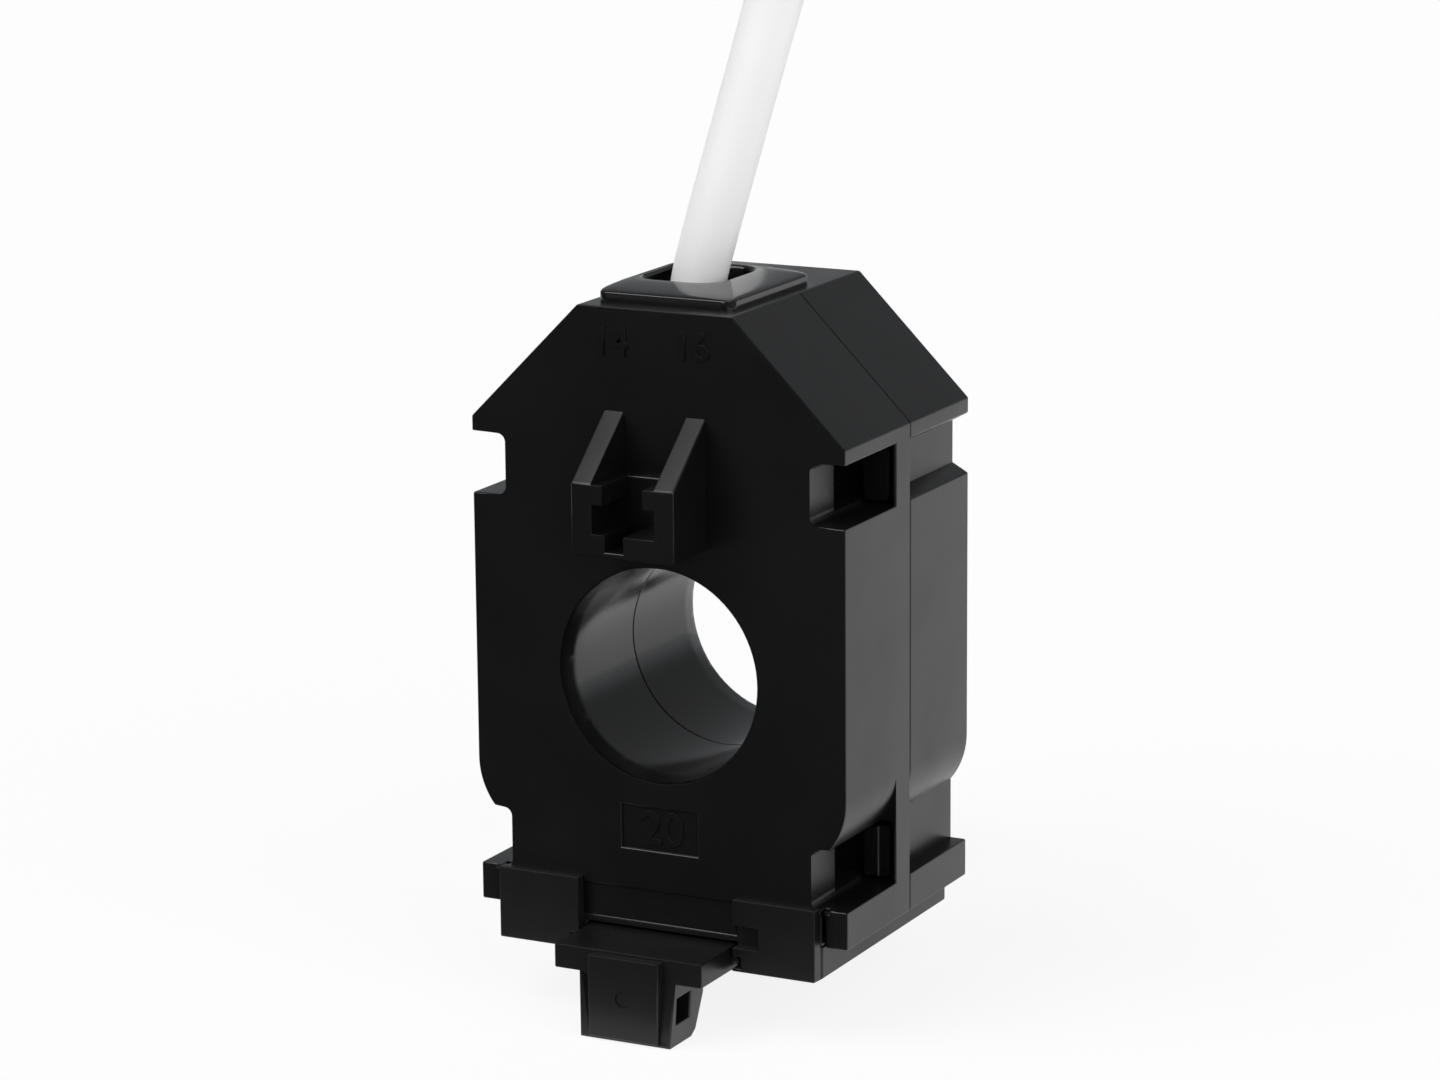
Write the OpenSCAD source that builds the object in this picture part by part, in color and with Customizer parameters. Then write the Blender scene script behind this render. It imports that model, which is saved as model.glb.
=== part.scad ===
// Window-type current transformer in a two-half moulded case.
// It clips onto a 35 mm rail and has a flying lead.
// Frame: origin at the middle of the window, front face towards -Y, +Z up, millimetres.

/* [Case] */
// Width of the case across its side walls
case_w = 42.5; // [42:0.1:46]
// Depth of the case along the window
case_d = 30; // [29:0.5:36]
// Height of the roof above the middle of the window
roof_z = 37.9; // [37:0.1:41]
// Width of the flat part of the roof between its two slopes
roof_flat = 17.5; // [16.5:0.1:19]
// Height of the upright lip below each eave
eave_lip = 1.6; // [1:0.1:2.5]
// Wall thickness of both case halves
wall = 1.6; // [1.2:0.1:1.8]
// How far the parting plane lies behind the middle of the case
seam_y = 0.5; // [0:0.1:1]
// Height at which the side walls start to curve in, below the middle of the window
side_drop = 10.9; // [10:0.1:12]
// How far the side walls curve in at their lower end
side_draw = 1.85; // [1.4:0.05:2]
// Height of the curved stretch of the side walls
side_curve = 5.15; // [4.5:0.05:6]

/* [Window] */
// Clear diameter of the window
window_d = 22; // [18:0.5:22.5]
// Radial widening of the window at each face
mouth_flare = 0.3; // [0.1:0.1:0.6]
// Length of the widened stretch behind each face
mouth_len = 3; // [1:0.5:4]
// Wall thickness of the tube round the window
tube_wall = 1.4; // [1:0.1:1.6]

/* [Corner notches] */
// Height of each notch in the side walls
notch_h = 6.4; // [5.5:0.1:7]
// Depth of the notches in the front half
notch_front = 3.9; // [3:0.1:4.2]
// Depth of the upper notches in the rear half
notch_rear = 1.75; // [1.2:0.05:2]
// Length of the sloped ends of the rear notches
notch_slope = 0.95; // [0.5:0.05:1.2]
// Thickness of the web that closes the front notches at the parting plane
web_t = 3.5; // [2.5:0.1:4.5]
// Thickness of the rim outside each snap pad
rim_t = 0.45; // [0.4:0.05:0.6]
// Gap on each side of a snap pad
pad_gap = 0.4; // [0.2:0.05:0.5]
// How deep the web is cut back round each snap pad
pad_depth = 1.5; // [1:0.1:1.8]
// How far each snap pad stands out from the web
pad_t = 0.3; // [0.2:0.1:0.5]
// Length of the pocket in the inner wall of each front notch
snap_len = 6.5; // [4:0.5:8]
// Depth of that pocket
snap_depth = 3.5; // [2:0.1:4]

/* [Base flange] */
// Height of the flange under the case
flange_h = 4; // [3.5:0.1:4.6]
// How far the flange's front and rear stay behind the case faces
flange_set = 0.3; // [0.2:0.1:0.6]
// Width of the groove beside each front foot plate
foot_groove = 0.45; // [0.3:0.05:0.6]
// How far the shallow recess lies below the window's lower edge
plate_drop = 3; // [2:0.1:4]
// Width of that recess
plate_w = 8.8; // [7:0.1:10]
// Height of that recess
plate_h = 4.6; // [3.5:0.1:5]
// Depth of that recess
plate_t = 0.35; // [0.2:0.05:0.6]

// Distance of the clip's locating pegs from the middle, to each side
peg_x = 13; // [11:0.5:14]
// Distance of the pegs from the middle, front to rear
peg_y = 8; // [6:0.5:10]
// Diameter of the pegs
peg_d = 3; // [2:0.1:3.4]

/* [Socket bracket] */
// Width of the bracket on the front face
bracket_w = 11.6; // [11:0.1:12.5]
// How far the bracket stands out from the front face
bracket_out = 7.2; // [6.5:0.1:8]
// Height of the bracket's block
block_h = 7.4; // [7:0.1:8]
// Height of the sloped cheeks above the block
cheek_rise = 6.1; // [5:0.1:7]
// Thickness of each cheek
cheek_t = 2.3; // [1.8:0.1:2.6]
// Height of the socket's cross slot
cross_h = 2.9; // [2.4:0.1:3.2]
// Width of the slot that opens upwards
slot_w = 4.5; // [4:0.1:5]
// Width of the slot's narrow foot
slot_foot = 2; // [1.6:0.1:2.4]
// Depth of the cross-shaped socket
socket_depth = 5.6; // [4.5:0.1:6]

/* [Cable collar] */
// Width of the collar on the roof
collar_w = 15.4; // [14.8:0.1:16]
// Length of the collar front to rear
collar_l = 18.2; // [17.5:0.1:19]
// How far the collar stands above the roof at its outer edge
collar_rise = 1.15; // [0.8:0.05:1.5]
// How much higher the collar is round the well than at its outer edge
collar_crown = 0.3; // [0.1:0.05:0.5]
// Corner radius of the collar
collar_r = 0.9; // [0.4:0.1:1.5]
// Width of the ledge that rests on the roof all round
collar_ledge = 0.6; // [0.5:0.05:0.9]
// Width of the cable well in the collar
well_w = 9.1; // [8.4:0.1:9.2]
// Length of the cable well front to rear
well_l = 10.8; // [9.5:0.1:10.9]
// Depth of the cable well below the collar's top
well_depth = 2.95; // [2.3:0.05:3.2]
// Corner radius of the well
well_r = 1.4; // [1:0.1:3]
// Widening of the well at its top
well_bevel = 0.5; // [0.3:0.05:0.6]
// How far the collar's body reaches below the roof
collar_body = 4.4; // [4:0.1:5]
// Length of lead between the collar's body and its stripped end
tail_len = 2.5; // [2.2:0.1:4]
// Length of bare wire between the lead's stripped end and the splices
strip_len = 4.5; // [4:0.1:6]
// Length of the snap lug on each side of the collar
lug_l = 4; // [3:0.1:6]
// Outside diameter of the lead
cable_d = 5.8; // [5.4:0.1:6]

/* [Rail clip] */
// Width of the mounting rail
rail_w = 35; // [35:0.1:35.4]
// Room for the rail's edge between base and lip
rail_gap = 1.8; // [1.5:0.1:2.2]
// How far each lip reaches under the rail
rail_grip = 1.7; // [1.2:0.1:2]
// Height of the clip frame's plate under the flange
frame_h = 3.4; // [3.2:0.1:4]
// How far the clip frame stays inside the flange on each side
frame_set = 2.8; // [2:0.1:3.2]
// Width of each front foot plate
foot_w = 9.4; // [8.5:0.1:9.6]
// How far the foot plates stand in front of the case face
foot_out = 1.3; // [1:0.1:1.8]
// Width of the gap between the two foot plates
foot_gap = 17.8; // [17.4:0.1:18.4]
// Width of the notch in the inner edge of the right foot plate
foot_notch_w = 2.9; // [2:0.1:4]
// Height of that notch
foot_notch_h = 2.3; // [1.8:0.1:2.8]
// Distance from the base down to the lowest point of tab and hook
clip_drop = 7; // [6:0.1:8]
// Thickness of the fixed hook
hook_t = 4; // [3:0.1:5]
// Width of the fixed hook
hook_w = 16; // [12:0.5:20]

/* [Latch] */
// Width of the latch plate at its ears
latch_w = 17; // [16:0.1:17.2]
// Thickness of the latch plate
latch_t = 2.6; // [2.3:0.1:2.7]
// How far the ears stand in front of the case face
latch_out = 7.3; // [6.5:0.1:8]
// Width of the finger tab at the top
tab_top_w = 11.4; // [10.5:0.1:12]
// Width of the finger tab at the bottom
tab_low_w = 10.2; // [9.5:0.1:10.4]
// Width of the raised front of the tab
tab_face_w = 8.1; // [7:0.1:9]
// How far that front stands out from the ears
tab_face_t = 1.1; // [0.8:0.1:1.4]
// How far the raised front stands out from the rest of the tab
tab_step = 0.3; // [0.2:0.05:0.5]
// Diameter of the shallow dimple in the raised front
dimple_d = 1.8; // [1.2:0.1:2.4]
// Length of the tool slot through the tab
tab_slot_l = 2.9; // [2.2:0.1:3.2]
// Height of the tool slot
tab_slot_h = 2.7; // [2:0.1:2.9]
// Distance from the front of the ears to the middle of the tool slot
tab_slot_in = 2; // [1.7:0.1:2.3]
// Length the latch can be pulled out
latch_travel = 3; // [2:0.1:3.5]
// Length of the return spring at rest
spring_len = 10.5; // [9:0.1:12]
// Outside diameter of the return spring
spring_d = 2.4; // [2:0.1:2.4]
// Wire thickness of the return spring
spring_wire = 0.4; // [0.3:0.05:0.5]
// Turns of the return spring
spring_turns = 8; // [6:1:10]

/* [Coil] */
// Radial room between the window tube and the winding
coil_gap = 0.4; // [0.3:0.1:0.6]
// Thickness of the winding round the core cup
winding_t = 0.8; // [0.6:0.1:1]
// Wall thickness of the core cup
cup_t = 0.6; // [0.4:0.1:0.8]
// Room between the tape and the inside of the side walls
coil_room = 0.8; // [0.6:0.1:1.2]
// Length of the core along the window
core_len = 17.8; // [15:0.1:18.5]
// Thickness of the outer tape
tape_t = 0.25; // [0.15:0.05:0.3]
// Diameter of each insulated wire
wire_d = 1.6; // [1.2:0.1:1.8]
// Distance between the two wires
wire_pitch = 2.4; // [2.2:0.1:2.6]

/* [Coiled lead] */
// Layers of the tied coil, one on top of the other
coil_layers = 2; // [1:1:2]
// Turns side by side in each layer
coil_rows = 2; // [1:1:2]
// Radius of the innermost turn at the middle of the lead
turn_r = 14.5; // [13.5:0.1:14.5]
// Length of each ferrule beyond its wire
ferrule_len = 6; // [4:0.5:8]
// Thickness of the tie round the coil
tie_t = 0.5; // [0.3:0.1:0.8]
// Width of the tie
tie_w = 4; // [3:0.5:6]

/* [Hidden] */

$fn = 64;
slack = 0.1;        // clearance of pieces that are pushed together
run_gap = 0.2;      // clearance of pieces that slide
over = 1;           // how far a cutting shape passes the face that it opens

half_w = case_w / 2;
front_y = -case_d / 2;
rear_y = case_d / 2;
roof_half = roof_flat / 2;
eave_z = roof_z - (half_w - roof_half);
lip_z = eave_z - eave_lip;
ledge_z = lip_z - notch_h;
neck_x = half_w - side_draw;
curve_end_z = -side_drop - side_curve;
flange_top = curve_end_z - notch_h;
flange_z = flange_top - flange_h;
notch_x = half_w - notch_front;
snap_edge = 0.5;
web_y = seam_y - web_t;
flange_y = rear_y - flange_set;
foot_end = foot_gap / 2 + foot_w;
plate_z = -window_d / 2 - plate_drop;

bracket_y = front_y - bracket_out;
block_z = 13.75;
block_top = block_z + block_h;
cross_z = block_z + 2.35;

collar_x = -0.3;
collar_y = -3.1;
collar_z = roof_z + collar_rise + collar_crown;
well_x = -2.35;
well_y = -0.5;
well_z = collar_z - well_depth;
collar_foot = roof_z - collar_body;
cable_x = -2.4;
cable_y = -0.6;
tail_z = collar_foot - tail_len;
splice_z = tail_z - strip_len;

frame_z = flange_z - frame_h;
frame_half = half_w - frame_set;
frame_front = front_y - foot_out;
frame_rear = rear_y + 0.6;
foot_top = flange_top + 0.3;
rest_z = frame_z - clip_drop;
rail_y = rail_w / 2;
lip_top = frame_z - rail_gap;
grip_y = rail_y - rail_grip;
channel_roof = flange_z - 0.8;

latch_z = frame_z - run_gap;
latch_top = latch_z + latch_t;
latch_y = front_y - latch_out;
stop_y = -8;
stop_t = 1.5;
spring_y = stop_y + stop_t;
spring_z = (latch_top + latch_z) / 2;
latch_end = spring_y + spring_len + 2;

tube_r = window_d / 2 + tube_wall;
winding_r = tube_r + coil_gap;
cup_r = winding_r + winding_t;
core_r = cup_r + cup_t;
tape_out = half_w - wall - coil_room;
winding_out = tape_out - tape_t;
cup_out = winding_out - winding_t;
core_out = cup_out - cup_t;
coil_half = core_len / 2 + cup_t + winding_t;
lead_z = tape_out + slack / 2;

// The lead leaves the well, arches over behind the case and comes down on the coil.
cable_route = [
    [-2.4, -0.6, 36.4], [-2.4, -0.6, 37.4], [-2.1, -0.6, 39.2], [-1.1, -0.6, 42.8],
    [2.4, -0.6, 54.3], [5.6, -0.6, 64.7], [7.8, -0.5, 72.5], [9.6, 1.6, 82.4],
    [9.3, 8, 91.2], [6.7, 18, 96.4], [2.2, 28.4, 95.8], [-3.2, 37, 90.4],
    [-8.4, 42.2, 80.8], [-13, 43.4, 68], [-16.6, 42.6, 55.6], [-20, 40.8, 42.9],
    [-23.1, 38.4, 29.6], [-25.3, 32.4, 15], [-27.2, 24.8, 2], [-29.6, 20.8, -8],
    [-32.1, 20.2, -16], [-34.9, 22.5, -22.5], [-37.7, 27, -26.4], [-40.3, 32.5, -27.6]
];
route_side = [0.88, 0.4, -0.27];
coil_pos = [-21.8, 40.9];
coil_angle = 27;
coil_z = rest_z + tie_t;
coil_end_len = 14;
coil_end_angle = 25;

black = [0.09, 0.09, 0.1];
dark_grey = [0.16, 0.16, 0.17];
white = [0.93, 0.93, 0.92];
steel = [0.72, 0.73, 0.75];
copper = [0.72, 0.42, 0.2];

// A flat outline in X and Z, given a depth from y0 to y1.
module along_y(y0, y1) {
    translate([0, y1, 0]) rotate([90, 0, 0]) linear_extrude(y1 - y0) children();
}

// A flat outline in Y and Z, given a width from x0 to x1.
module along_x(x0, x1) {
    translate([x0, 0, 0]) rotate([90, 0, 90]) linear_extrude(x1 - x0) children();
}

module both_sides() {
    children();
    mirror([1, 0, 0]) children();
}

module box(low, high) {
    translate(low) cube(high - low);
}

// A rectangle with round corners, centred.
module round_rect(w, h, r) {
    square([w - 2 * r, h], center = true);
    square([w, h - 2 * r], center = true);
    for (x = [-1, 1], y = [-1, 1]) translate([x * (w / 2 - r), y * (h / 2 - r)]) circle(r);
}

function mirrored(points) =
    concat(points, [for (i = [len(points) - 1 : -1 : 0]) [-points[i].x, points[i].y]]);

// The curve that takes a side wall in, as points from its top to its lower end.
function side_points(steps = 10) =
    let (r = (side_curve * side_curve + side_draw * side_draw) / (2 * side_draw),
         sweep = asin(side_curve / r))
    [for (i = [0 : steps]) [half_w - r + r * cos(i * sweep / steps),
                            -side_drop - r * sin(i * sweep / steps)]];

// Front view of the housing above its flange.
module case_outline() {
    polygon(mirrored(concat(
        [[roof_half, roof_z], [half_w, eave_z]],
        side_points(),
        [[neck_x, flange_top - over / 2]]
    )));
}

// Front view of the hollow inside a case half whose notches are this deep.
module cavity_outline(notch) {
    inner = half_w - notch - wall;
    outer = half_w - wall;
    slope_sum = roof_z + roof_half - wall * sqrt(2);
    polygon(mirrored([
        [roof_half - wall * tan(22.5), roof_z - wall],
        [inner, slope_sum - inner],
        [inner, ledge_z - wall],
        [outer, ledge_z - wall],
        [outer, -side_drop],
        [inner, -side_drop - (outer - inner)],
        [inner, flange_z + wall]
    ]));
}

module window_cut() {
    r = window_d / 2;
    rotate([90, 0, 0]) cylinder(r = r, h = case_d + 2 * over, center = true);
    for (s = [-1, 1])
        translate([0, s * rear_y, 0]) rotate([s * 90, 0, 0]) rotate_extrude()
            polygon([[0, -over], [r + mouth_flare, -over], [r + mouth_flare, 0],
                     [r, mouth_len], [0, mouth_len]]);
}

module window_tube(y0, y1) {
    along_y(y0, y1) circle(tube_r);
}

// Posts that hold the coil away from a case face.
module coil_rests(y0, y1) {
    for (a = [45 : 90 : 315])
        rotate([0, a, 0]) box([cup_r, y0, -1], [core_out, y1, 1]);
}

module collar_opening() {
    w = collar_w - 2 * collar_ledge + 2 * slack;
    l = collar_l - 2 * collar_ledge + 2 * slack;
    translate([collar_x - w / 2, collar_y - l / 2, roof_z - wall - over])
        cube([w, l, wall + 2 * over]);
}

module peg_places() {
    for (x = [-peg_x, peg_x], y = [-peg_y, peg_y]) translate([x, y, flange_z]) children();
}

module case_half(y0, y1, hollow0, hollow1, notch) {
    difference() {
        union() {
            along_y(y0, y1) case_outline();
            box([-half_w, max(y0, -flange_y), flange_z], [half_w, min(y1, flange_y), flange_top]);
        }
        along_y(hollow0, hollow1) cavity_outline(notch);
    }
}

module front_notch(z0, z1) {
    r = 0.9;
    along_y(front_y - over, web_y) {
        translate([notch_x + r, z0]) square([notch_front + over, z1 - z0]);
        translate([notch_x, z0 + r]) square([notch_front + over, z1 - z0 - 2 * r]);
        for (z = [z0 + r, z1 - r]) translate([notch_x + r, z]) circle(r, $fn = 32);
    }
}

module snap_pad(z0) {
    r = 0.5;
    w = notch_front - rim_t - 2 * pad_gap;
    translate([half_w - rim_t - pad_gap - w / 2, 0, z0 + notch_h / 2])
        along_y(web_y - pad_t, web_y + pad_depth + over) round_rect(w, notch_h - 1, r);
}

// The closed box inside the case that carries a notch's pocket.
module snap_housing(z0) {
    box([notch_x - snap_depth - wall / 2, web_y - snap_len - wall / 2, z0 + snap_edge - wall / 2],
        [notch_x, seam_y, z0 + notch_h - snap_edge + wall / 2]);
}

// A notch in the front half, with the pocket in its inner wall and the hollow round its snap pad.
module snap_notch(z0) {
    z1 = z0 + notch_h;
    difference() {
        union() {
            front_notch(z0, z1);
            box([notch_x - snap_depth, web_y - snap_len, z0 + snap_edge],
                [notch_x + over, web_y + pad_depth, z1 - snap_edge]);
            box([notch_x, web_y - over, z0], [half_w - rim_t, web_y + pad_depth, z1]);
        }
        snap_pad(z0);
    }
}

// The bracket on the front: a block with a cross-shaped socket between two sloped cheeks.
module socket_bracket() {
    half = bracket_w / 2;
    gap = half - cheek_t;
    lead_in = 0.8;
    difference() {
        union() {
            box([-half, bracket_y, block_z], [half, front_y, block_top]);
            both_sides() along_x(gap, half)
                polygon([[front_y, block_z], [bracket_y, block_z], [bracket_y, block_top],
                         [front_y, block_top + cheek_rise]]);
        }
        box([-gap, bracket_y - over, cross_z], [gap, bracket_y + socket_depth, cross_z + cross_h]);
        box([-slot_w / 2, bracket_y - over, cross_z],
            [slot_w / 2, bracket_y + socket_depth, block_top + over]);
        box([-slot_foot, bracket_y - over, block_z + 0.6],
            [0, bracket_y + socket_depth, cross_z + lead_in]);
    }
}

module front_case() {
    color(black) difference() {
        union() {
            case_half(front_y, seam_y, front_y + wall, seam_y + over, notch_front);
            both_sides() box([neck_x - over, web_y, flange_top - over], [half_w, seam_y, -side_drop]);
            both_sides() box([notch_x - wall, web_y, ledge_z - over],
                             [half_w - over, seam_y, lip_z + over]);
            both_sides() {
                snap_housing(ledge_z);
                snap_housing(flange_top);
            }
            window_tube(front_y + wall / 2, seam_y);
            coil_rests(front_y + wall / 2, -coil_half - run_gap);
            socket_bracket();
        }
        both_sides() {
            snap_notch(ledge_z);
            snap_notch(flange_top);
            box([foot_end, -flange_y - over, flange_z - over],
                [foot_end + foot_groove, -flange_y + 1, flange_top]);
        }
        window_cut();
        collar_opening();
        box([-plate_w / 2, front_y - over, plate_z - plate_h],
            [plate_w / 2, front_y + plate_t, plate_z]);
        peg_places() translate([0, 0, -over]) cylinder(d = peg_d + 2 * slack, h = wall + 2 * over);
    }
}

module rear_notch() {
    x0 = half_w - notch_rear;
    along_y(seam_y, rear_y + over)
        polygon([[half_w + over, lip_z], [half_w, lip_z], [x0, lip_z - notch_slope],
                 [x0, ledge_z + notch_slope], [half_w, ledge_z], [half_w + over, ledge_z]]);
}

module rear_case() {
    color(black) difference() {
        union() {
            case_half(seam_y, rear_y, seam_y - over, rear_y - wall, notch_rear);
            window_tube(seam_y, rear_y - wall / 2);
            coil_rests(coil_half + run_gap, rear_y - wall / 2);
        }
        both_sides() rear_notch();
        window_cut();
        collar_opening();
        peg_places() translate([0, 0, -over]) cylinder(d = peg_d + 2 * slack, h = wall + 2 * over);
    }
}

module well_outline(extra) {
    translate([well_x, well_y]) round_rect(well_w + 2 * extra, well_l + 2 * extra, well_r + extra);
}

module cable_collar() {
    body_w = collar_w - 2 * collar_ledge;
    body_l = collar_l - 2 * collar_ledge;
    skin = 0.01;
    lug_out = 0.5;
    lug_h = 1.4;
    lug_z = roof_z - wall - slack;
    color(black) difference() {
        union() {
            hull() {
                translate([collar_x, collar_y, roof_z]) linear_extrude(collar_rise)
                    round_rect(collar_w, collar_l, collar_r);
                translate([0, 0, collar_z - skin]) linear_extrude(skin) well_outline(well_bevel);
            }
            translate([collar_x - body_w / 2, collar_y - body_l / 2, collar_foot])
                cube([body_w, body_l, roof_z - collar_foot + slack]);
            for (s = [-1, 1])
                translate([collar_x + s * body_w / 2, collar_y, lug_z]) rotate([90, 0, 0])
                    linear_extrude(lug_l, center = true)
                        polygon([[0, 0], [s * lug_out, 0], [0, -lug_h]]);
        }
        translate([0, 0, well_z]) linear_extrude(well_depth + over) well_outline(0);
        hull() {
            translate([0, 0, collar_z - well_bevel]) linear_extrude(skin) well_outline(0);
            translate([0, 0, collar_z]) linear_extrude(skin) well_outline(well_bevel);
        }
        translate([cable_x, cable_y, collar_foot - over])
            cylinder(d = cable_d, h = collar_z - collar_foot + over);
    }
}

// The frame under the flange, with two front foot plates, the latch's channel and the fixed hook.
module rail_clip() {
    channel = latch_w / 2 + run_gap;
    tongue = channel + tongue_w;
    color(black) difference() {
        union() {
            box([-frame_half, front_y + flange_set, frame_z], [frame_half, frame_rear, flange_z]);
            both_sides()
                box([foot_gap / 2, frame_front, frame_z], [foot_end, front_y, foot_top]);
            both_sides()
                box([foot_gap / 2, frame_front, frame_z], [foot_end, front_y + over, flange_z]);
            peg_places() cylinder(d = peg_d, h = wall);
            fixed_hook();
        }
        box([-channel, frame_front - over, frame_z - over],
            [channel, latch_end + 2 * run_gap, channel_roof]);
        both_sides()
            box([channel - over, frame_front - over, tongue_z - run_gap],
                [tongue + run_gap, latch_end + 2 * run_gap, tongue_z + tongue_t + run_gap]);
        box([foot_gap / 2 - over, frame_front - over, channel_roof],
            [foot_gap / 2 + foot_notch_w, front_y - slack, channel_roof + foot_notch_h]);
    }
    color(black)
        box([-1.6, stop_y, latch_z + 0.3], [1.6, spring_y, channel_roof + over / 2]);
}

tongue_w = 0.9;
tongue_t = 0.8;
tongue_z = latch_z + 0.8;

module fixed_hook() {
    nose = 1.2;
    along_x(-hook_w / 2, hook_w / 2)
        polygon([[rail_y + slack, frame_z + over], [rail_y + slack, lip_top],
                 [grip_y, lip_top], [grip_y, lip_top - 1], [grip_y + nose, rest_z],
                 [rail_y + hook_t - nose, rest_z], [rail_y + hook_t, rest_z + nose],
                 [rail_y + hook_t, frame_z + 1.6], [frame_rear - over, frame_z + 1.6],
                 [frame_rear - over, frame_z + over]]);
}

// Side view of the finger tab with the lip that grips the rail.
module tab_outline() {
    front = latch_y - tab_face_t + tab_step;
    polygon([[front + 0.9, latch_z + over], [front, rest_z + 0.3], [front + 0.3, rest_z],
             [-grip_y - 2.3, rest_z], [-grip_y - 1.4, rest_z + 0.6], [-grip_y, lip_top - 1],
             [-grip_y, lip_top], [-rail_y - slack, lip_top], [-rail_y - slack, latch_z + over]]);
}

module rail_latch() {
    half = latch_w / 2;
    slot_z = lip_top - 1.4;
    dimple = 0.15;
    color(black) difference() {
        union() {
            box([-half, latch_y, latch_z], [half, latch_end, latch_top]);
            both_sides()
                box([half - over, frame_front + 0.6, tongue_z],
                    [half + tongue_w, latch_end, tongue_z + tongue_t]);
            intersection() {
                along_x(-half, half) tab_outline();
                along_y(latch_y - 3, 0)
                    polygon(mirrored([[tab_top_w / 2, latch_top], [tab_low_w / 2, rest_z - over]]));
            }
            box([-tab_face_w / 2, latch_y - tab_face_t, rest_z + 0.4],
                [tab_face_w / 2, latch_y + over, latch_top - 0.3]);
        }
        along_x(-half, half) translate([latch_y + tab_slot_in, slot_z])
            square([tab_slot_l, tab_slot_h], center = true);
        translate([0, latch_y - tab_face_t - over, slot_z + 1]) rotate([-90, 0, 0])
            cylinder(d = dimple_d, h = over + dimple);
        box([-2, stop_y - run_gap, latch_z - over], [2, spring_y + spring_len, latch_top + over]);
    }
}

// A round bar swept along points. Each ring lies across the route.
function unit(v) = v / norm(v);
function route_dir(p, i) =
    i == 0 ? unit(p[1] - p[0])
    : i == len(p) - 1 ? unit(p[i] - p[i - 1])
    : unit(unit(p[i + 1] - p[i]) + unit(p[i] - p[i - 1]));

module swept(points, r, sides, side_dir) {
    n = len(points);
    rings = [for (i = [0 : n - 1])
        let (t = route_dir(points, i), u = unit(cross(t, side_dir)), v = cross(u, t))
        for (j = [0 : sides - 1])
            points[i] + r * (cos(j * 360 / sides) * u + sin(j * 360 / sides) * v)];
    walls = [for (i = [0 : n - 2], j = [0 : sides - 1])
        let (k = (j + 1) % sides)
        [i * sides + j, i * sides + k, (i + 1) * sides + k, (i + 1) * sides + j]];
    first = [for (j = [sides - 1 : -1 : 0]) j];
    last = [for (j = [0 : sides - 1]) (n - 1) * sides + j];
    polyhedron(rings, concat(walls, [first, last]), convexity = 10);
}

module latch_spring() {
    steps = 10;
    r = (spring_d - spring_wire) / 2;
    length = spring_len - spring_wire;
    count = spring_turns * steps;
    path = [for (i = [0 : count])
        [r * cos(i * 360 / steps), spring_y + spring_wire / 2 + i * length / count,
         spring_z + r * sin(i * 360 / steps)]];
    color(steel) swept(path, spring_wire / 2, 6, [0, 1, 0]);
}

// A ring round the window's axis, between two radii.
module ring_y(r0, r1, half) {
    rotate([90, 0, 0]) rotate_extrude() translate([r0, -half]) square([r1 - r0, 2 * half]);
}

module core() {
    color(dark_grey) ring_y(core_r, core_out, core_len / 2);
}

// The cup is open towards the rear, where the lid closes it.
module core_cup() {
    half = core_len / 2;
    color(white) difference() {
        ring_y(cup_r, cup_out, half + cup_t);
        ring_y(core_r, core_out, half);
        translate([0, half + cup_t, 0]) ring_y(cup_r - over, cup_out + over, cup_t);
    }
}

module core_cup_lid() {
    color(white) translate([0, (core_len + cup_t) / 2, 0]) ring_y(cup_r, cup_out, cup_t / 2);
}

module secondary_winding() {
    round_r = 0.7;
    w = winding_out - winding_r;
    color(copper) difference() {
        rotate([90, 0, 0]) rotate_extrude()
            translate([(winding_out + winding_r) / 2, 0]) round_rect(w, 2 * coil_half, round_r);
        ring_y(cup_r, cup_out, core_len / 2 + cup_t);
    }
}

module winding_tape() {
    color([0.85, 0.75, 0.3]) ring_y(winding_out, tape_out, core_len / 2 - 1);
}

module wire(side, z0, z1) {
    translate([cable_x + side * wire_pitch / 2, cable_y, z0]) cylinder(d = wire_d, h = z1 - z0, $fn = 32);
}

module lead_wire_1() { color("red") wire(-1, lead_z, splice_z); }
module lead_wire_2() { color("black") wire(1, lead_z, splice_z); }
module cable_core_1() { color("brown") wire(-1, splice_z, tail_z); }
module cable_core_2() { color("blue") wire(1, splice_z, tail_z); }

module sleeve(side) {
    h = 5;
    translate([cable_x + side * wire_pitch / 2, cable_y, splice_z - h / 2]) difference() {
        cylinder(d = wire_pitch - 2 * slack, h = h, $fn = 32);
        translate([0, 0, -over]) cylinder(d = wire_d, h = h + 2 * over, $fn = 32);
    }
}

module splice_sleeve_1() { color(dark_grey) sleeve(-1); }
module splice_sleeve_2() { color(dark_grey) sleeve(1); }

module cable_tail() {
    color(white) translate([cable_x, cable_y, tail_z]) cylinder(d = cable_d, h = well_z - tail_z);
}

// The tie that stops the lead from being pulled out through the collar.
module strain_relief_tie() {
    h = 1.8;
    color(white) translate([cable_x, cable_y, collar_foot - slack - h]) difference() {
        union() {
            cylinder(d = cable_d + 2, h = h);
            translate([0, -cable_d / 2 - 2.6, 0]) cube([3.4, 3.2, h]);
        }
        translate([0, 0, -over]) cylinder(d = cable_d, h = h + 2 * over);
    }
}

module at_coil() {
    translate([coil_pos.x, coil_pos.y, coil_z]) rotate([0, 0, coil_angle]) children();
}

coil_inner = turn_r - cable_d / 2;
coil_outer = coil_inner + coil_rows * cable_d;
coil_h = coil_layers * cable_d;

module coil_body() {
    at_coil() rotate_extrude() translate([coil_inner, 0]) square([coil_outer - coil_inner, coil_h]);
}

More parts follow.
